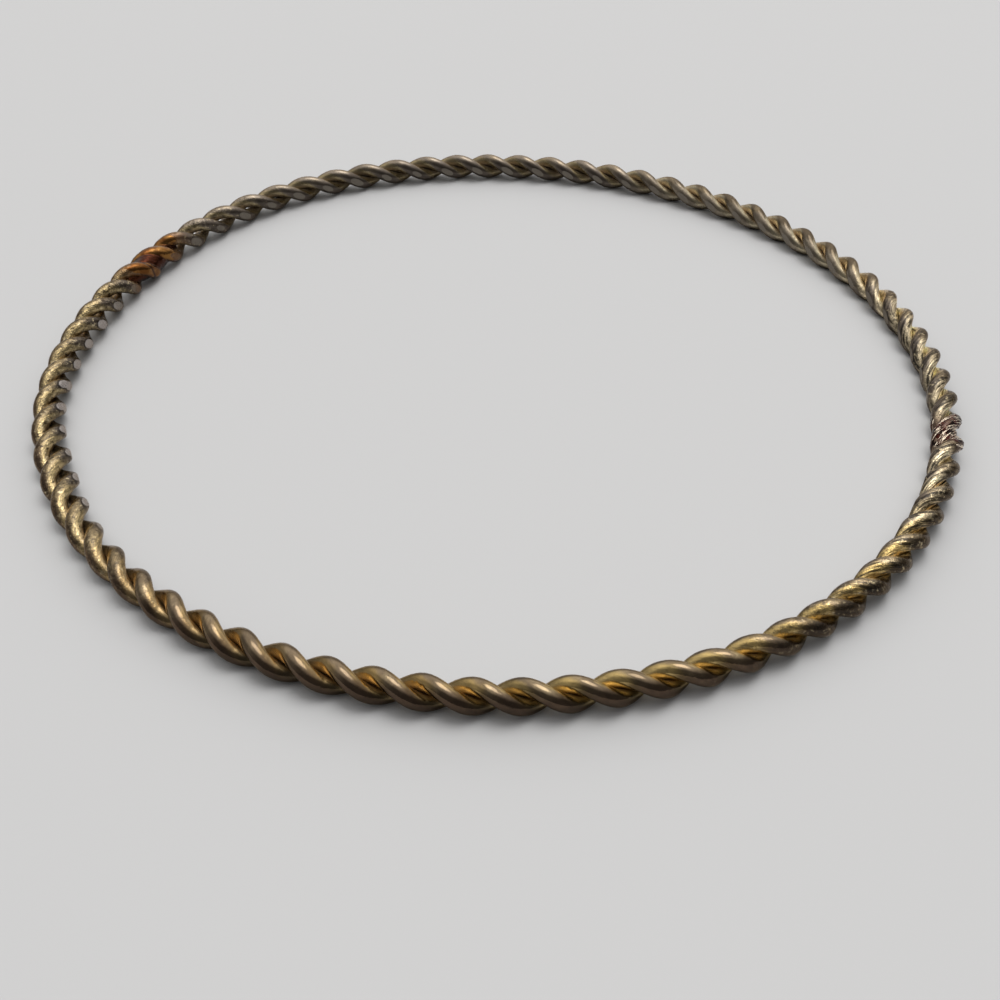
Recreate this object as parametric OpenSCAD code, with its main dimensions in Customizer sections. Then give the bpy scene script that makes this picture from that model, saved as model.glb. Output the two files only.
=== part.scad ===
// Bangle of two round wires, twisted about each other and closed into a ring.
// The ends of each wire are soldered together. The two joints lie nearly opposite each
// other, and the inside of the ring is worn flat where it has rubbed on the wrist.
// The ring lies flat: the origin is under its middle, on the surface that it rests on.

/* [Ring] */
// Inner diameter, between the flats worn on the inside
inner_d = 66; // [54:0.5:78]
// Depth of the flats worn on the inside
flat_depth = 0.08; // [0:0.01:0.15]

/* [Wires] */
// Diameter of each wire
wire_d = 1.1; // [0.9:0.05:1.4]
// Gap between the two wires in the middle of the twist
wire_gap = 0.04; // [0.03:0.01:0.12]

/* [Twist] */
// Full turns of the two wires about each other in one round of the ring
turns = 36; // [24:1:42]
// Share by which the twist is tighter at its tightest place, and looser opposite it
twist_variation = 0.045; // [0:0.005:0.1]
// Direction of the tightest place, seen from the middle of the ring, in degrees
tightest_at = 303; // [0:1:359]
// Direction in which the first wire lies from the middle of the twist, at 0 degrees
start_turn = 18; // [0:1:359]

/* [Dent] */
// Direction of the place where the ring is pressed in and its twist stands open
dent_at = 163; // [0:1:359]
// Angle over which the dent fades out, to either side
dent_reach = 42; // [20:1:90]
// How far the ring is pressed in at the dent
dent_depth = 0.85; // [0:0.05:1]
// How much further each wire stands from the middle of the twist at the dent
dent_slack = 0.13; // [0:0.01:0.2]
// How far the twist has turned back at the dent, in degrees
dent_slip = 30; // [0:5:90]

/* [Kink] */
// Direction of the short bend beside the dent, where the wires are spread apart
kink_at = 205; // [0:1:359]
// Angle over which the kink fades out, to either side
kink_reach = 16; // [10:1:45]
// How far the ring is pressed in at the kink
kink_depth = 0.25; // [0:0.05:0.6]
// How far each wire is spread inwards and outwards at the kink
kink_spread = 0.2; // [0:0.02:0.3]

/* [Solder] */
// Direction of the joint that closes the first wire
joint_a_at = 156; // [0:1:359]
// Length of its solder along the ring
joint_a_l = 7; // [3:0.5:10]
// Direction of the joint that closes the second wire
joint_b_at = 345; // [0:1:359]
// Length of its solder along the ring
joint_b_l = 4.5; // [3:0.5:10]
// How far the solder stays below the outside of the twist, at the middle of a joint
solder_low = 0.22; // [0.15:0.01:0.35]

/* [Hidden] */

wire_r = wire_d / 2;
// From the middle of the twist to the middle of each wire, away from the dent
lay = wire_r + wire_gap / 2;
// From the middle of the ring to the middle of the twist, away from the dent
ring = inner_d / 2 - flat_depth + lay + wire_r;

// Sections in each turn of a wire, and corners of a section
turn_steps = 12;
wire_sides = 8;
wire_steps = turns * turn_steps;

// Sections along the solder of a joint, and their corners
solder_steps = 14;
solder_sides = 16;
// The solder thins out towards either end, down to this radius about the middle of the twist
solder_end_r = wire_r / 2;

brass = [0.53, 0.44, 0.25];

// Share of a bend that reaches a direction, from 1 in its middle to 0 at its ends
function bend(deg, at, reach) =
    let (away = abs((deg - at + 540) % 360 - 180))
    away < reach ? (1 + cos(180 * away / reach)) / 2 : 0;
function dent(deg) = bend(deg, dent_at, dent_reach);
function kink(deg) = bend(deg, kink_at, kink_reach);

// From the middle of the twist to the middle of each wire, and to the outside
function lay_r(deg) = lay + dent_slack * dent(deg);
function twist_r(deg) = lay_r(deg) + wire_r;

// From the middle of the ring to the middle of the twist, and to the flats
function ring_r(deg) = ring - dent_depth * dent(deg) - kink_depth * kink(deg);
function bore_r(deg) = ring_r(deg) - twist_r(deg) - kink_spread * kink(deg) + flat_depth;

// Direction of a wire from the middle of the twist, which turns as a right-handed screw
function turn_at(deg, start) =
    start - turns * (deg + twist_variation * 180 / PI * sin(deg - tightest_at))
    + dent_slip * dent(deg);

// Degrees that a wire turns for each degree round the ring
function turn_rate(deg) = -turns * (1 + twist_variation * cos(deg - tightest_at));

// A point that lies so far outwards, onwards and upwards from the middle of the twist
function ring_point(deg, out, on, up) =
    let (r = ring_r(deg) + out)
    [r * cos(deg) - on * sin(deg), r * sin(deg) + on * cos(deg), twist_r(deg) + up];

// A point inside the worn bore, moved out to its wall
function worn(p) =
    let (share = max(1, bore_r(atan2(p.y, p.x)) / norm([p.x, p.y])))
    [p.x * share, p.y * share, p.z];

// A corner of a wire's section, counted from the one furthest from the middle of the twist
function wire_corner(deg, turn, corner, r) =
    let (
        on = ring_r(deg) + lay_r(deg) * cos(turn),
        round = lay_r(deg) * turn_rate(deg),
        slant = norm([on, round]),
        from_middle = lay_r(deg) + r * cos(corner),
        across = -r * sin(corner) * on / slant
    )
    ring_point(
        deg,
        (from_middle + kink_spread * kink(deg)) * cos(turn) - across * sin(turn),
        r * sin(corner) * round / slant,
        from_middle * sin(turn) + across * cos(turn)
    );

// Corners of a wire from one of its sections to another
function wire_points(start, r, first, last) = [
    for (i = [first : last], j = [0 : wire_sides - 1])
        let (deg = 360 * i / wire_steps)
        wire_corner(deg, turn_at(deg, start), 360 * j / wire_sides, r)
];

// Triangles between each section and the next, and from the last to the first if closed
function skin(sections, sides, closed) = [
    for (i = [0 : sections - (closed ? 1 : 2)], j = [0 : sides - 1])
        let (
            a = i * sides + j,
            b = i * sides + (j + 1) % sides,
            c = (i + 1) % sections * sides + j,
            d = (i + 1) % sections * sides + (j + 1) % sides
        )
        each [[a, c, b], [b, c, d]]
];

// A solid through sections of corners, with a flat end at either side
module tube(points, sides) {
    sections = len(points) / sides;
    last = (sections - 1) * sides;
    near_end = [for (j = [0 : sides - 1]) j];
    far_end = [for (j = [sides - 1 : -1 : 0]) last + j];
    polyhedron(points, concat(skin(sections, sides, false), [near_end, far_end]));
}

// A wire, closed round the ring
module wire(start) {
    points = wire_points(start, wire_r, 0, wire_steps - 1);
    polyhedron([for (p = points) worn(p)], skin(wire_steps, wire_sides, true));
}

// The room that a wire needs at a joint of the other one
module passage(start, at, length) {
    middle = wire_steps * at / 360;
    reach = wire_steps * length / (2 * PI * ring_r(at)) / 2 + 1;
    points = wire_points(start, wire_r + wire_gap, floor(middle - reach), ceil(middle + reach));
    tube(points, wire_sides);
}

// Solder that has run along the grooves of the twist, thickest at the middle of its joint
module solder(at, length) {
    arc = length / ring_r(at) * 180 / PI;
    middle_r = twist_r(at) - solder_low;
    points = [
        for (i = [0 : solder_steps], j = [0 : solder_sides - 1])
            let (
                r = solder_end_r + (middle_r - solder_end_r) * sin(180 * i / solder_steps),
                corner = 360 * j / solder_sides
            )
            ring_point(at + arc * (i / solder_steps - 0.5), r * cos(corner), 0, -r * sin(corner))
    ];
    tube(points, solder_sides);
}

// A wire with the solder of its own joint, which leaves the other wire free
module strand(start, joint_at, joint_l) {
    wire(start);
    difference() {
        solder(joint_at, joint_l);
        passage(start + 180, joint_at, joint_l);
    }
}

module strand_a() {
    color(brass) strand(start_turn, joint_a_at, joint_a_l);
}

module strand_b() {
    color(brass) strand(start_turn + 180, joint_b_at, joint_b_l);
}

strand_a();
strand_b();
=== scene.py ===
import math

import bpy
import numpy as np
from mathutils import Matrix, Vector, noise


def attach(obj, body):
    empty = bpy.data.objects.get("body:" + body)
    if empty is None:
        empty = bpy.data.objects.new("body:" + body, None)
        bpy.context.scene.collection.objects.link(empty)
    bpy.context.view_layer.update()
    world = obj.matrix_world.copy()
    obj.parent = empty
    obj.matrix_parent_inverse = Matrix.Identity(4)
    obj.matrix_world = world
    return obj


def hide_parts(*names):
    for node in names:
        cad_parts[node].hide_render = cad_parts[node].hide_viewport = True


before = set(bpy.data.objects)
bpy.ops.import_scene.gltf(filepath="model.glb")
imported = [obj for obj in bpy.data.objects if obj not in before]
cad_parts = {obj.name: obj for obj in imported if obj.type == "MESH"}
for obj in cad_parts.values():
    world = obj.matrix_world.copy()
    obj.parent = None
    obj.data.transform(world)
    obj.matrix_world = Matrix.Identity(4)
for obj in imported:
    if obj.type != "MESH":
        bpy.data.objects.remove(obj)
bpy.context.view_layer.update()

# The two wires, of round drawn brass, twisted about each other as a right-handed screw and
# bent into a ring. A wrist has rubbed a flat on every bump of the inner side, and a knock
# has dented the ring on one side, with a short kink where the wires are spread apart.
mm = 0.001
inner_d = 66.0
flat_depth = 0.08
wire_d = 1.1
wire_gap = 0.04
turns = 36
twist_variation = 0.045
tightest_at = math.radians(303)
start_turn = math.radians(18)
dent_at = math.radians(163)
dent_reach = math.radians(42)
dent_depth = 0.85
dent_slack = 0.13
dent_slip = math.radians(30)
kink_at = math.radians(205)
kink_reach = math.radians(16)
kink_depth = 0.25
kink_spread = 0.20
facet_depth = 0.045
facet_slant = math.radians(32)
facets_within = math.radians(16)
facets_end = math.radians(22)
uneven_by = 0.012
pit_depth = 0.018
sections_per_turn = 66
wire_sides = 38
seed_a = 3.0
seed_b = 11.0

wire_r = wire_d / 2
lay = wire_r + wire_gap / 2
ring_r = inner_d / 2 - flat_depth + lay + wire_r
# The wires press on each other until they share a thin film of metal. Each lies nearer to
# the middle of the twist by half of pressed, and its radius is larger by the same.
film = 0.012
pressed = (wire_gap + film) / 2
wire_l = 2 * math.pi * math.hypot(ring_r, turns * lay)

# Each wire is closed by a joint, at its own place round the ring
joint_a_at = math.radians(156)
joint_b_at = math.radians(345)


class Rule:
    """A value that nodes work out at each point, so that a formula reads as on paper."""

    def __init__(self, tree, socket):
        self.tree = tree
        self.socket = socket

    def math(self, operation, *others):
        node = self.tree.nodes.new("ShaderNodeMath")
        node.operation = operation
        for slot, value in zip(node.inputs, (self, *others)):
            feed(slot, value)
        return Rule(self.tree, node.outputs[0])

    def __add__(self, other):
        return self.math("ADD", other)

    def __radd__(self, other):
        return self.math("ADD", other)

    def __sub__(self, other):
        return self.math("SUBTRACT", other)

    def __rsub__(self, other):
        return self.math("MULTIPLY", -1.0).math("ADD", other)

    def __mul__(self, other):
        return self.math("MULTIPLY", other)

    def __rmul__(self, other):
        return self.math("MULTIPLY", other)

    def __truediv__(self, other):
        return self.math("DIVIDE", other)


def feed(slot, value):
    """Gives a node's input a value, or links it to what works the value out."""
    if isinstance(value, Rule):
        value.tree.links.new(value.socket, slot)
    else:
        slot.default_value = value


def add_node(tree, kind, settings=None, **inputs):
    """A node with its settings made and its inputs fed, each named with _ for a space."""
    node = tree.nodes.new(kind)
    for name, value in (settings or {}).items():
        setattr(node, name, value)
    for name, value in inputs.items():
        feed(node.inputs[name.replace("_", " ")], value)
    return node


def out(node, name=0):
    return Rule(node.id_data, node.outputs[name])


def sin(angle):
    return angle.math("SINE")


def cos(angle):
    return angle.math("COSINE")


def hypot(a, b):
    return (a * a + b * b).math("SQRT")


def away_from(angle, place):
    """How far an angle round the ring is from a place on it, either way."""
    return (angle - place).math("WRAP", math.pi, -math.pi).math("ABSOLUTE")


def rises(value, low, high):
    """From 0 at low to 1 at high, with soft ends."""
    node = add_node(value.tree, "ShaderNodeMapRange", {"interpolation_type": "SMOOTHSTEP"},
                    Value=value)
    node.inputs["From Min"].default_value = low
    node.inputs["From Max"].default_value = high
    return out(node)


def point(x, y, z):
    return out(add_node(x.tree, "ShaderNodeCombineXYZ", X=x, Y=y, Z=z))


def parts_of(vector):
    node = vector.tree.nodes.new("ShaderNodeSeparateXYZ")
    feed(node.inputs[0], vector)
    return [out(node, name) for name in "XYZ"]


def vector_math(operation, *values):
    tree = values[0].tree
    node = add_node(tree, "ShaderNodeVectorMath", {"operation": operation})
    for slot, value in zip(node.inputs, values):
        feed(slot, value)
    return out(node, "Value" if operation in ("DOT_PRODUCT", "LENGTH") else "Vector")


def scaled(vector, factor):
    node = add_node(vector.tree, "ShaderNodeVectorMath", {"operation": "SCALE"}, Scale=factor)
    feed(node.inputs[0], vector)
    return out(node)


def grain_at(vector, scale, detail=2.0, roughness=0.5):
    """Soft noise about 0.5, in cycles for each millimetre of the vector."""
    node = add_node(vector.tree, "ShaderNodeTexNoise", None, Vector=vector, Scale=scale)
    node.inputs["Detail"].default_value = detail
    node.inputs["Roughness"].default_value = roughness
    return out(node, "Fac")


wire_inputs = {
    "Ring Radius": ("NodeSocketFloat", ring_r),
    "Flat Depth": ("NodeSocketFloat", flat_depth),
    "Wire Radius": ("NodeSocketFloat", wire_r + pressed / 2),
    "Lay Radius": ("NodeSocketFloat", lay - pressed / 2),
    "Turns": ("NodeSocketInt", turns),
    "Twist Variation": ("NodeSocketFloat", twist_variation),
    "Tightest At": ("NodeSocketFloat", tightest_at),
    "Start Turn": ("NodeSocketFloat", start_turn),
    "Dent At": ("NodeSocketFloat", dent_at),
    "Dent Reach": ("NodeSocketFloat", dent_reach),
    "Dent Depth": ("NodeSocketFloat", dent_depth),
    "Dent Slack": ("NodeSocketFloat", dent_slack),
    "Dent Slip": ("NodeSocketFloat", dent_slip),
    "Kink At": ("NodeSocketFloat", kink_at),
    "Kink Reach": ("NodeSocketFloat", kink_reach),
    "Kink Depth": ("NodeSocketFloat", kink_depth),
    "Kink Spread": ("NodeSocketFloat", kink_spread),
    "Facet Depth": ("NodeSocketFloat", facet_depth),
    "Facet Slant": ("NodeSocketFloat", facet_slant),
    "Ends Meet At": ("NodeSocketFloat", joint_a_at),
    "Wire Length": ("NodeSocketFloat", wire_l),
    "Sections Per Turn": ("NodeSocketInt", sections_per_turn),
    "Sides": ("NodeSocketInt", wire_sides),
    "Unevenness": ("NodeSocketFloat", uneven_by),
    "Pit Depth": ("NodeSocketFloat", pit_depth),
    "Seed": ("NodeSocketFloat", seed_a),
    "Finish": ("NodeSocketMaterial", None),
}

tree = bpy.data.node_groups.new("Twisted wire", "GeometryNodeTree")
for name, (kind, value) in wire_inputs.items():
    socket = tree.interface.new_socket(name=name, in_out="INPUT", socket_type=kind)
    if value is not None:
        socket.default_value = value
tree.interface.new_socket(name="Geometry", in_out="OUTPUT", socket_type="NodeSocketGeometry")
given = tree.nodes.new("NodeGroupInput")
size = {name: Rule(tree, given.outputs[name]) for name in wire_inputs}


def bend(around, at, reach):
    """Share of a bend at an angle round the ring, from 1 in its middle to 0 at its ends."""
    return 0.5 * cos((away_from(around, at) / reach).math("MINIMUM", 1.0) * math.pi) + 0.5


def twist_at(around):
    """The radii of ring, lay and twist at an angle, and the shares of dent and kink."""
    dent = bend(around, size["Dent At"], size["Dent Reach"])
    kink = bend(around, size["Kink At"], size["Kink Reach"])
    ring_here = size["Ring Radius"] - size["Dent Depth"] * dent - size["Kink Depth"] * kink
    lay_here = size["Lay Radius"] + size["Dent Slack"] * dent
    return ring_here, lay_here, lay_here + size["Wire Radius"], dent, kink


# The middle line of the wire starts where its ends meet
path = add_node(tree, "GeometryNodeCurvePrimitiveCircle", None,
                Resolution=size["Turns"] * size["Sections Per Turn"], Radius=1.0)
factor = out(tree.nodes.new("GeometryNodeSplineParameter"), "Factor")
around = size["Ends Meet At"] + factor * (2 * math.pi)
ring_here, lay_here, twist_here, dent, kink = twist_at(around)
turn = size["Start Turn"] + size["Dent Slip"] * dent - size["Turns"] * (
    around + size["Twist Variation"] * sin(around - size["Tightest At"]))
from_axis = ring_here + (lay_here + size["Kink Spread"] * kink) * cos(turn)
middle = point(from_axis * cos(around), from_axis * sin(around),
               twist_here + lay_here * sin(turn))
outwards = point(cos(turn) * cos(around), cos(turn) * sin(around), sin(turn))
laid = add_node(tree, "GeometryNodeSetPosition", None, Geometry=out(path, "Curve"), Position=middle)
kept = add_node(tree, "GeometryNodeCaptureAttribute", {"domain": "POINT"}, Geometry=out(laid))
for kind, name, value in (("VECTOR", "Middle", middle), ("VECTOR", "Outwards", outwards),
                          ("FLOAT", "Length", factor * size["Wire Length"])):
    kept.capture_items.new(kind, name)
    feed(kept.inputs[name], value)
profile = add_node(tree, "GeometryNodeCurvePrimitiveCircle", None,
                   Resolution=size["Sides"], Radius=size["Wire Radius"])
swept = add_node(tree, "GeometryNodeCurveToMesh", None,
                 Curve=out(kept, "Geometry"), Profile_Curve=out(profile, "Curve"))

# Unevenness of a hand-drawn wire, then the pits that tarnish has eaten, with their grains in
# cycles for each mm
swell_grain = 0.9
pit_grain = 4.5
place = out(tree.nodes.new("GeometryNodeInputPosition"))
normal = out(tree.nodes.new("GeometryNodeInputNormal"), "Normal")
seeded = vector_math("ADD", place, point(size["Seed"], size["Seed"], size["Seed"]))
swell = (grain_at(seeded, swell_grain) - 0.5) * (2 * size["Unevenness"])
pits = rises(grain_at(seeded, pit_grain, 1.0), 0.6, 0.72) * size["Pit Depth"]
uneven = add_node(tree, "GeometryNodeSetPosition", None,
                  Geometry=out(swept), Offset=scaled(normal, swell - pits))

# Flats worn on the inner side, some deeper than others, and slanting facets at the kink
flat_grain = 0.16
flat_variation = 0.12
spread_at_facet = 0.85
x, y, z = parts_of(place)
here = y.math("ARCTAN2", x)
ring_here, lay_here, twist_here, dent, kink = twist_at(here)
spread = size["Kink Spread"] * kink
from_axis = hypot(x, y)
side = from_axis - ring_here
up = z - twist_here
worn_more = (grain_at(seeded, flat_grain, 0.0) - 0.5) * flat_variation
bore = ring_here - twist_here - spread + size["Flat Depth"] + worn_more
slant = size["Facet Slant"]
facet = up * sin(slant) - side * cos(slant) - (
    twist_here + spread * spread_at_facet - size["Facet Depth"])
facet = facet - rises(away_from(here, size["Kink At"]), facets_within, facets_end)
worn = add_node(tree, "GeometryNodeCaptureAttribute", {"domain": "POINT"}, Geometry=out(uneven))
worn.capture_items.new("FLOAT", "Cut")
feed(worn.inputs["Cut"], (bore - from_axis).math("MAXIMUM", facet))
facet = facet.math("MAXIMUM", 0.0)
share = (bore.math("MAXIMUM", from_axis) + facet * cos(slant)) / from_axis
filed = add_node(tree, "GeometryNodeSetPosition", None, Geometry=out(worn, "Geometry"),
                 Position=point(x * share, y * share, z - facet * sin(slant)))

# What the finish needs to know: how far out of the groove, how far to the inner side, how
# high, how deep it is rubbed away in mm, and the way that the wire was drawn
from_groove = hypot(side, up) / twist_here
offset = vector_math("SUBTRACT", place, out(kept, "Middle"))
onwards = vector_math("DOT_PRODUCT", offset, out(kept, "Outwards"))
across = vector_math("DOT_PRODUCT", vector_math("CROSS_PRODUCT", offset, out(kept, "Outwards")),
                     vector_math("NORMALIZE", vector_math("CROSS_PRODUCT", middle, outwards)))
marks = (("FLOAT", "crest", from_groove), ("FLOAT", "inner", side * -1.0 / twist_here),
         ("FLOAT", "height", up / twist_here), ("FLOAT", "wear", out(worn, "Cut")),
         ("FLOAT_VECTOR", "drawn", point(out(kept, "Length"), onwards, across)))
marked = filed
for kind, name, value in marks:
    marked = add_node(tree, "GeometryNodeStoreNamedAttribute",
                      {"data_type": kind, "domain": "POINT"},
                      Geometry=out(marked), Name=name, Value=value)
smooth = add_node(tree, "GeometryNodeSetShadeSmooth", None, Geometry=out(marked))
sized = add_node(tree, "GeometryNodeTransform", None, Geometry=out(smooth), Scale=(mm, mm, mm))
real = add_node(tree, "GeometryNodeRealizeInstances", None, Geometry=out(sized))
finished = add_node(tree, "GeometryNodeSetMaterial", None,
                    Geometry=out(real), Material=size["Finish"])
result = tree.nodes.new("NodeGroupOutput")
feed(result.inputs["Geometry"], out(finished))


def told(tree, attribute, output="Fac"):
    """What a piece's mesh tells its finish about each point."""
    return out(add_node(tree, "ShaderNodeAttribute", {"attribute_name": attribute}), output)


def mixed(amount, a, b):
    """The first colour where the amount is 0, and the second where it is 1."""
    node = add_node(amount.tree, "ShaderNodeMix", {"data_type": "RGBA"})
    feed(node.inputs["Factor"], amount)
    feed(node.inputs[6], a)
    feed(node.inputs[7], b)
    return out(node, 2)


def new_finish(name):
    """A metal's material, with its tree, its shader and the place on it in mm."""
    material = bpy.data.materials.new(name)
    material.use_nodes = True
    shader = material.node_tree.nodes["Principled BSDF"]
    shader.inputs["Metallic"].default_value = 1.0
    where = scaled(out(material.node_tree.nodes.new("ShaderNodeTexCoord"), "Object"), 1000.0)
    return material, material.node_tree, shader, where


def add_bump(shader, height, distance):
    """Low relief, with its height in units of the distance, in mm."""
    bump = add_node(shader.id_data, "ShaderNodeBump")
    bump.inputs["Strength"].default_value = 1.0
    bump.inputs["Distance"].default_value = distance * mm
    feed(bump.inputs["Height"], height)
    feed(shader.inputs["Normal"], out(bump))


# Old brass: golden on the flanks, brown in the grooves, dull where the crests are handled,
# nearly black low on the outer side from painted shade, and pitted on the left and on the right
brass, paint, shader, where = new_finish("tarnished brass")
where_x, where_y = parts_of(where)[:2]
ring_angle = where_y.math("ARCTAN2", where_x)
crest = told(paint, "crest")
inner = told(paint, "inner")
height = told(paint, "height")
wear = told(paint, "wear")
drawn = told(paint, "drawn", "Vector")


def zone(place, half, fade):
    """1 within half of a place on the ring, in degrees, and 0 past the fade."""
    return rises(away_from(ring_angle, math.radians(place)),
                 math.radians(half + fade), math.radians(half))


# How the brass has aged round the ring, and where painted shade is stronger or weaker
pitted = zone(182, 26, 38) + zone(338, 18, 36)
silvery = zone(350, 26, 14)
golden = zone(299, 20, 18)
browned = zone(28, 36, 14)
greyed = zone(108, 36, 16)
paler = zone(45, 16, 12)
dim = zone(84, 62, 12)
yellowed = zone(190, 32, 12)
sooty = zone(176, 14, 12)
front_left = zone(238, 10, 12)
near_side = zone(285, 40, 24)
right_side = zone(345, 22, 20)
snagged = zone(194, 21, 8)
# The zone at the right where painted shade is strongest
shaded = zone(334, 28, 14)
# The zone where the painted shade on the side facing into the ring is eased
inner_shade_eased = zone(332, 11, 12)
coppery = zone(156, 5.0, 3.5)
burnt = zone(345, 2.2, 2.2)
dulled = 1.0 - 0.05 * zone(268, 14, 30) - 0.08 * zone(100, 30, 45)

# The grain of its tarnish, and the scratches that run along the wire
patches = grain_at(where, 0.45, 3.0)
blotches = grain_at(vector_math("ADD", where, (40.0, 0.0, 0.0)), 1.4, 3.0, 0.6)
speckle = grain_at(where, 3.2, 4.0, 0.7)
fine = grain_at(where, 9.0, 2.0, 0.6)
scratches = grain_at(vector_math("MULTIPLY", drawn, (0.5, 6.0, 6.0)), 1.0, 3.0, 0.65)
streaks = rises(scratches, 0.38, 0.62)
bare = grain_at(vector_math("MULTIPLY", drawn, (0.35, 1.8, 1.8)), 1.0, 3.0, 0.6)
bare = rises(bare, 0.47, 0.60)
wobble = (patches - 0.5) * 0.5 + (blotches - 0.5) * 0.3

# Its colour from the groove out to the crest, darker on the side of the twist that faces into the
# ring: partly duller tarnish where hands don't reach, partly painted shade
groove = mixed(dim, (0.31, 0.225, 0.12, 1), (0.31, 0.245, 0.165, 1))
groove = mixed(sooty, groove, (0.22, 0.14, 0.055, 1))
groove = mixed(paler, groove, (0.46, 0.37, 0.245, 1))
groove = mixed(silvery, groove, (0.88, 0.74, 0.46, 1))
groove = mixed(near_side, groove, (0.40, 0.28, 0.135, 1))
groove = mixed(golden, groove, (0.55, 0.40, 0.17, 1))
flank = mixed(dim, (0.42, 0.29, 0.12, 1), (0.26, 0.205, 0.11, 1))
flank = mixed(yellowed, flank, (0.46, 0.35, 0.175, 1))
flank = mixed(near_side, flank, (0.43, 0.29, 0.11, 1))
flank = mixed(front_left, flank, (0.33, 0.225, 0.10, 1))
flank = mixed(paler, flank, (0.38, 0.325, 0.22, 1))
flank = mixed(silvery, flank, (0.80, 0.66, 0.44, 1))
flank = mixed(golden, flank, (0.56, 0.40, 0.155, 1))
inwards = inner / (crest + 0.05)
metal = mixed(rises(crest, 0.35, 0.65), groove, flank)
# Painted shade, with duller tarnish, on the side of the twist that faces into the ring
inner_shade_and_tarnish = rises(inwards - 0.4 * inner_shade_eased, 0.15, 0.85)
metal = scaled(metal, 1.0 - inner_shade_and_tarnish * (0.48 + 0.2 * silvery + 0.16 * yellowed) * (1.0 - dim))
# Painted shade: the outer side of the crests darkened nearly to black on the near side and the
# right
outside = rises(-1.0 * inwards, 0.12, 0.62) * (near_side + shaded).math("MINIMUM", 1.0)
outside = outside * rises(crest, 0.45, 0.75) * (0.88 - 0.3 * front_left)
metal = mixed(outside, metal, (0.07, 0.042, 0.022, 1))
handled = mixed(yellowed, (0.15, 0.108, 0.066, 1), (0.16, 0.118, 0.062, 1))
handled = mixed(silvery, handled, (0.18, 0.138, 0.085, 1))
handled = mixed(browned, handled, (0.062, 0.044, 0.025, 1))
handled = mixed(greyed, handled, (0.205, 0.168, 0.13, 1))
clean = mixed(silvery, (0.26, 0.197, 0.115, 1), (0.46, 0.38, 0.25, 1))
handled = mixed(bare * (0.35 + 0.35 * near_side), handled, clean)
rubbing = crest + wobble * 0.5 + dim * 0.08 + greyed * 0.05 - near_side * 0.02
colour = mixed(rises(rubbing, 0.80, 0.98) * 0.97, metal, handled)
# The tips of the inner side, and painted shade on the side that lies low on the outside of the
# twist
tips = rises(inner + wobble + pitted * 0.2, 0.38, 0.8) * rises(crest + dim * 0.1, 0.76, 0.97)
tip = mixed(paler, (0.085, 0.068, 0.055, 1), (0.25, 0.208, 0.155, 1))
colour = mixed(tips * 0.9, colour, tip)
# Painted shade: darker low on the outer side of the twist, most of all at the right
low_side_shade = rises(-1.0 * inner - 0.4 * height + wobble * 0.6 + shaded * 0.35, 0.05, 0.75)
low_side_shade = low_side_shade * rises(crest + shaded * 0.2, 0.62, 0.9)
low_shade_colour = mixed(shaded, (0.075, 0.044, 0.027, 1), (0.022, 0.014, 0.009, 1))
colour = mixed(low_side_shade * 0.88, colour, low_shade_colour)
# Painted shade under the wires on the near side, where they face down towards the floor
under_painted_shade = rises(-1.0 * height / (crest + 0.05), -0.4, 0.2) * rises(-1.0 * inner, 0.1, 0.5)
under_painted_shade = under_painted_shade * near_side * (0.75 - 0.33 * rises(crest, 0.6, 0.85))
colour = scaled(colour, 1.0 - under_painted_shade)
# Blotches, streaks and grime over all of it, and bright flecks that are painted glints
streaked = (streaks - 0.5) * (0.14 + 0.6 * pitted + 1.2 * right_side)
tone = dulled * (1.0 + (blotches - 0.5) * 0.9 + streaked)
colour = scaled(colour, tone.math("MAXIMUM", 0.12).math("MINIMUM", 1.55))
grime = rises(speckle, 0.52, 0.64) * (0.1 + 0.8 * pitted - 0.35 * right_side)
grime = grime + rises(patches, 0.55, 0.7) * 0.3
colour = mixed(grime.math("MINIMUM", 0.9), colour, (0.035, 0.023, 0.014, 1))
# Painted glints: small bright flecks where the metal is pitted
painted_glints = rises(-1.0 * speckle, -0.44, -0.33) * pitted * 0.75
colour = mixed(painted_glints, colour, (0.62, 0.51, 0.32, 1))
# Bare metal on the flats, with painted shade about their edges, and heat colours beside the joints
rub = wear + snagged * 0.055
# Painted shade: a dark rim about the edge of each flat
flat_rim_shade = rises(rub, -0.085, -0.04) * (0.15 + 0.75 * snagged) * (1.0 - coppery)
rubbed = rises(rub, -0.008, 0.008) * (1.0 - coppery)
rubbed_metal = mixed(snagged, (0.17, 0.148, 0.12, 1), (0.44, 0.40, 0.38, 1))
colour = mixed(flat_rim_shade, colour, (0.018, 0.014, 0.012, 1))
colour = mixed(rubbed * 0.85, colour, rubbed_metal)
colour = mixed(coppery * 0.85, colour, (0.16, 0.08, 0.035, 1))
colour = mixed(burnt * 0.85, colour, (0.06, 0.024, 0.018, 1))
feed(shader.inputs["Base Color"], colour)
shader.inputs["Specular Tint"].default_value = (0.7, 0.6, 0.5, 1)
shader.inputs["Coat Weight"].default_value = 0.3
shader.inputs["Coat Roughness"].default_value = 0.12
roughness = 0.43 - 0.26 * rises(crest, 0.35, 0.7) - 0.04 * near_side + 0.12 * right_side
roughness = roughness + 0.1 * zone(100, 48, 20) + (speckle - 0.5) * (0.1 + 0.2 * pitted)
feed(shader.inputs["Roughness"], roughness + grime * 0.2 + tips * 0.1)
relief = speckle * (0.06 + 1.9 * pitted) + fine * (0.8 * pitted)
relief = relief + scratches * (0.2 + 0.7 * pitted + 0.8 * right_side)
add_bump(shader, relief, 0.03)


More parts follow.
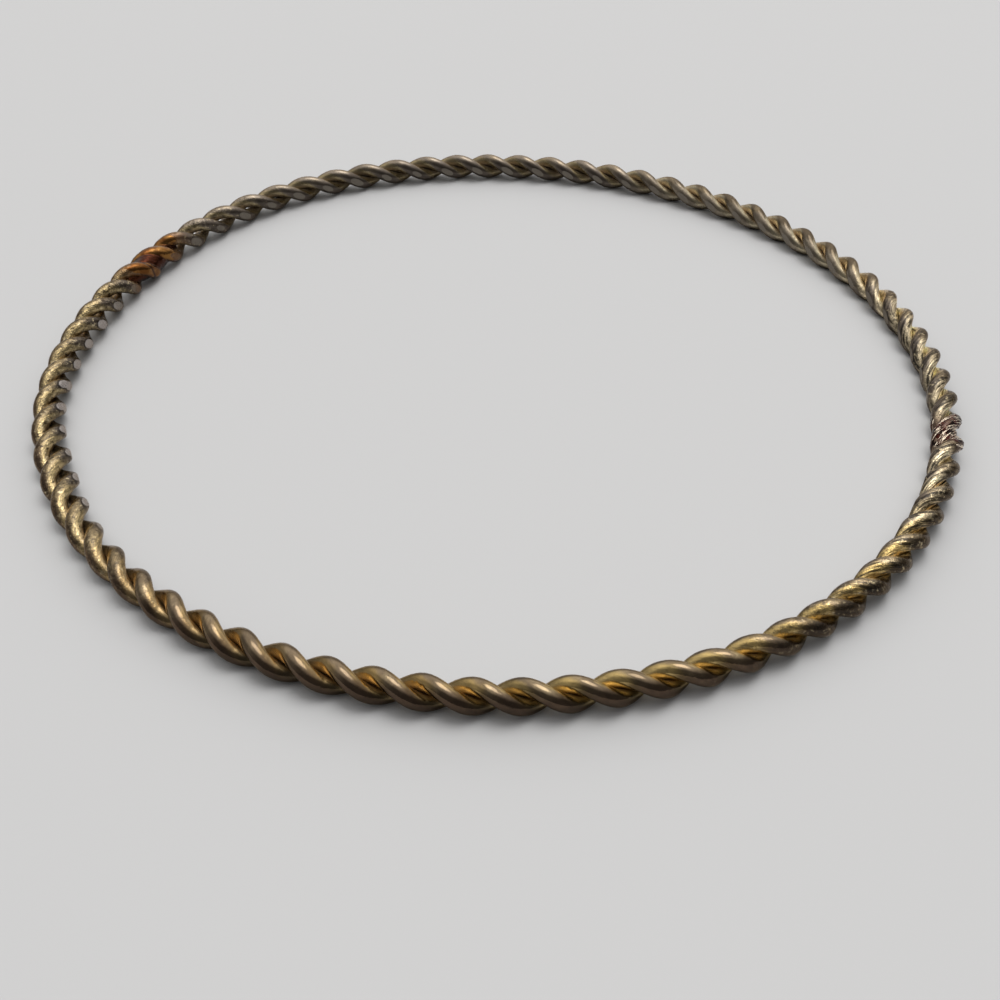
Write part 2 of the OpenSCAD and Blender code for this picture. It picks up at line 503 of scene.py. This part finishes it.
def make_wire(name, start, ends_meet_at, seed, slot):
    """One wire, made by the tree, turned into a plain mesh and given to the frame."""
    holder = bpy.data.objects.new(name + "_rule", bpy.data.meshes.new(name + "_rule"))
    bpy.context.scene.collection.objects.link(holder)
    rule = holder.modifiers.new("Twisted wire", "NODES")
    rule.node_group = tree
    values = {"Start Turn": start, "Ends Meet At": ends_meet_at, "Seed": seed, "Finish": brass}
    for item in tree.interface.items_tree:
        if item.name in values:
            rule[item.identifier] = values[item.name]
    seen = holder.evaluated_get(bpy.context.evaluated_depsgraph_get())
    mesh = bpy.data.meshes.new_from_object(seen)
    bpy.data.objects.remove(holder)
    wire = bpy.data.objects.new(name, mesh)
    bpy.context.scene.collection.objects.link(wire)
    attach(wire, "root")
    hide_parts(slot)


make_wire("wire_a", start_turn, joint_a_at, seed_a, "strand_a")
make_wire("wire_b", start_turn + math.pi, joint_b_at, seed_b, "strand_b")

# The solder of the two joints. It has run into the grooves and lies over the wires as a
# thin lumpy skin: copper-coloured where the first wire closes, burnt where the other does.
joint_a_l = 7.0
joint_b_l = 4.5
# How far the seam of each joint lies past its middle, along the ring
seam_a_past = 1.43
seam_b_past = 0.35

copper, copper_paint, copper_shader, copper_where = new_finish("copper-coloured solder")
copper_blotches = grain_at(copper_where, 0.9, 3.0, 0.6)
copper_speckle = grain_at(copper_where, 3.5, 3.0, 0.65)
copper_run = vector_math("MULTIPLY", told(copper_paint, "run", "Vector"), (0.4, 3.0, 3.0))
copper_streaks = grain_at(copper_run, 1.0, 3.0, 0.65)
copper_seam = told(copper_paint, "seam")
copper_fill = told(copper_paint, "filled")
copper_spots = rises(copper_speckle, 0.55, 0.75) * 0.4
copper_colour = mixed(rises(copper_blotches, 0.40, 0.60),
                      (0.23, 0.112, 0.033, 1), (0.125, 0.048, 0.013, 1))
copper_colour = mixed(copper_fill * 0.95, copper_colour, (0.04, 0.011, 0.006, 1))
copper_colour = mixed(copper_spots, copper_colour, (0.05, 0.016, 0.012, 1))
copper_colour = mixed(copper_seam * 0.9, copper_colour, (0.022, 0.005, 0.005, 1))
feed(copper_shader.inputs["Base Color"], copper_colour)
feed(copper_shader.inputs["Roughness"], 0.2 + (copper_speckle - 0.5) * 0.25 + copper_seam * 0.15)
add_bump(copper_shader, copper_speckle * 0.4 + copper_streaks * 0.7, 0.03)

burnt_solder, burnt_paint, burnt_shader, burnt_where = new_finish("burnt solder")
burnt_blotches = grain_at(burnt_where, 1.6, 3.0, 0.6)
burnt_speckle = grain_at(burnt_where, 5.0, 4.0, 0.7)
burnt_run = vector_math("MULTIPLY", told(burnt_paint, "run", "Vector"), (0.7, 4.5, 4.5))
burnt_streaks = grain_at(burnt_run, 1.0, 4.0, 0.7)
burnt_glints = rises(burnt_streaks, 0.51, 0.56) * 0.95
burnt_colour = mixed(rises(burnt_blotches, 0.43, 0.57),
                     (0.055, 0.013, 0.008, 1), (0.006, 0.003, 0.002, 1))
burnt_colour = mixed(burnt_glints, burnt_colour, (1.0, 0.84, 0.66, 1))
feed(burnt_shader.inputs["Base Color"], burnt_colour)
feed(burnt_shader.inputs["Roughness"], 0.2 + (burnt_speckle - 0.5) * 0.3)
add_bump(burnt_shader, burnt_speckle * 0.7 + burnt_streaks * 1.3, 0.1)


def solder_skin(name, at, length, low, lump, ridge, askew, seed, slot, finish):
    """A closed skin round the twist: thin over the wires, and full in the grooves between them.

    The low is how far the fill stays below the outside of the twist. The lump and the ridge
    are the heights of its unevenness, and askew is the place of its seam, all in mm.
    """
    sections_per_mm = 24
    corners = 120
    sunk = 0.06
    skin_thickness = 0.09
    softened_over = 0.16
    fillet = 0.08
    seam_width = 0.13
    seam_depth = 0.03
    above_floor = 0.004
    sections = round(length * sections_per_mm)
    share, psi = np.meshgrid(np.linspace(-0.5, 0.5, sections),
                             np.arange(corners) * 2 * np.pi / corners, indexing="ij")
    angle = at + share * length / ring_r
    from_dent = np.abs((angle - dent_at + np.pi) % (2 * np.pi) - np.pi)
    dent = np.where(from_dent < dent_reach, (1 + np.cos(np.pi * from_dent / dent_reach)) / 2, 0.0)
    lay_here = lay - pressed / 2 + dent_slack * dent
    twist_r = lay_here + wire_r + pressed / 2
    ring_here = ring_r - dent_depth * dent
    turn = start_turn + dent_slip * dent - turns * (
        angle + twist_variation * np.sin(angle - tightest_at))

    # The outside of the two wires, each an oval where it is cut square to the ring
    narrow = wire_r + pressed / 2
    wide = narrow * np.hypot(1.0, turns * lay_here / ring_here)
    outside = np.zeros_like(psi)
    for wire_turn in (turn, turn + np.pi):
        c = np.cos(psi - wire_turn)
        s = np.sin(psi - wire_turn)
        p = (c / narrow) ** 2 + (s / wide) ** 2
        q = lay_here * c / narrow ** 2
        inside = q ** 2 - p * ((lay_here / narrow) ** 2 - 1)
        far_wall = (q + np.sqrt(np.maximum(inside, 0))) / p
        outside = np.maximum(outside, np.where((inside > 0) & (c > 0), far_wall, 0.0))

    # Round lumps, and ridges that run along the wires
    thick = np.cos(np.pi * share) ** 0.5
    grain = np.zeros_like(psi)
    shift = Vector((seed, 0, 0))
    for i in range(sections):
        for j in range(corners):
            along = share[i, j] * length
            spot = Vector((along, 1.1 * math.cos(psi[i, j]), 1.1 * math.sin(psi[i, j])))
            grain[i, j] = lump * noise.fractal(spot * 1.3 + shift, 1.0, 2.0, 3)
            wound = psi[i, j] - turn[i, j]
            spot = Vector((0.8 * along, 4.0 * math.cos(wound), 4.0 * math.sin(wound)))
            grain[i, j] += ridge * noise.fractal(spot + shift, 1.0, 2.0, 2)
    skin = outside - sunk + skin_thickness * thick + grain * thick
    fill = wire_r / 2 + (twist_r - low - wire_r / 2) * np.sin(np.pi * (share + 0.5)) + grain
    blend = np.clip(0.5 + (skin - fill) / softened_over, 0, 1)
    radius = skin * blend + fill * (1 - blend) + fillet * blend * (1 - blend)

    # The seam where the wire's ends meet runs askew across the joint
    seam_at = 0.35 * np.sin(psi) + 0.25 * np.cos(psi) + askew
    seam = np.exp(-((share * length - seam_at) / seam_width) ** 2)
    radius = radius - seam_depth * seam

    bore = ring_here - twist_r + flat_depth
    away = np.maximum(ring_here + radius * np.cos(psi), bore)
    up = np.maximum(twist_r + radius * np.sin(psi), above_floor)
    points = np.stack([away * np.cos(angle), away * np.sin(angle), up], -1).reshape(-1, 3) * mm
    faces = [list(range(corners))]
    for i in range(sections - 1):
        for j in range(corners):
            k = (j + 1) % corners
            faces.append([i * corners + j, (i + 1) * corners + j,
                          (i + 1) * corners + k, i * corners + k])
    faces.append([(sections - 1) * corners + j for j in range(corners - 1, -1, -1)])
    mesh = bpy.data.meshes.new(name)
    mesh.from_pydata(points.tolist(), [], faces)
    run = np.stack([share * length, np.cos(psi - turn), np.sin(psi - turn)], -1)
    for mark, values in (("seam", seam), ("filled", 1 - blend)):
        mesh.attributes.new(mark, "FLOAT", "POINT").data.foreach_set("value", values.ravel())
    mesh.attributes.new("run", "FLOAT_VECTOR", "POINT").data.foreach_set("vector", run.ravel())
    mesh.polygons.foreach_set("use_smooth", [True] * len(faces))
    mesh.materials.append(finish)
    mesh.update()
    skin_piece = bpy.data.objects.new(name, mesh)
    bpy.context.scene.collection.objects.link(skin_piece)
    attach(skin_piece, "root")
    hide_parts(slot)


solder_skin("solder_a", joint_a_at, joint_a_l, low=0.22, lump=0.035, ridge=0.012,
            askew=seam_a_past, seed=5.0, slot="strand_a", finish=copper)
solder_skin("solder_b", joint_b_at, joint_b_l, low=0.40, lump=0.08, ridge=0.09,
            askew=seam_b_past, seed=17.0, slot="strand_b", finish=burnt_solder)

# The floor that the bangle lies on, the soft light of a room with a window behind and to
# the left of it, and the camera, close above the near side and rolled a little.
floor_mesh = bpy.data.meshes.new("floor")
half = 0.6
floor_mesh.from_pydata([(-half, -half, 0), (half, -half, 0), (half, half, 0), (-half, half, 0)],
                       [], [(0, 1, 2, 3)])
floor = bpy.data.objects.new("floor", floor_mesh)
bpy.context.scene.collection.objects.link(floor)
floor_paint = bpy.data.materials.new("pale floor")
floor_paint.use_nodes = True
floor_shader = floor_paint.node_tree.nodes["Principled BSDF"]
floor_shader.inputs["Base Color"].default_value = (0.55, 0.552, 0.558, 1)
floor_shader.inputs["Roughness"].default_value = 0.7
floor_mesh.materials.append(floor_paint)

world = bpy.data.worlds.new("room")
world.use_nodes = True
sky = world.node_tree
looked_in = out(sky.nodes.new("ShaderNodeTexCoord"), "Generated")


def glow(turned, raised, wide, core, brightness):
    """Soft light about a direction, turned to the right of straight behind, in degrees.

    It is full within the core, and gone past wide.
    """
    flat = math.cos(math.radians(raised))
    towards = (flat * math.sin(math.radians(turned)), flat * math.cos(math.radians(turned)),
               math.sin(math.radians(raised)))
    near = vector_math("DOT_PRODUCT", looked_in, towards)
    return rises(near, math.cos(math.radians(wide)), math.cos(math.radians(core))) * brightness


skylight = glow(25, 72, 24, 10, 3.6)
ceiling = glow(8, 64, 66, 26, 1.0)
window = glow(-80, 25, 60, 15, 0.2)
back_wall = glow(10, 15, 60, 20, 0.35)
dim_room = 0.18
background = sky.nodes["Background"]
feed(background.inputs["Strength"], dim_room + skylight + ceiling + window + back_wall)
background.inputs["Color"].default_value = (1.0, 0.99, 0.975, 1)
bpy.context.scene.world = world
bpy.context.scene.view_settings.view_transform = "Standard"

film_width = 36.0
nearest = 0.005
lens = 43.77
camera_height = 55.34 * mm
camera_back = 79.37 * mm
looks_at = Vector((0.30, -16.79, 1.12)) * mm
roll = math.radians(1.30)
camera_data = bpy.data.cameras.new("camera")
camera_data.lens = lens
camera_data.sensor_width = film_width
camera_data.clip_start = nearest
camera = bpy.data.objects.new("camera", camera_data)
camera.location = (0, -camera_back, camera_height)
aim = (looks_at - camera.location).to_track_quat("-Z", "Y").to_matrix()
camera.rotation_euler = (aim @ Matrix.Rotation(roll, 3, "Z")).to_euler()
bpy.context.scene.collection.objects.link(camera)
bpy.context.scene.camera = camera
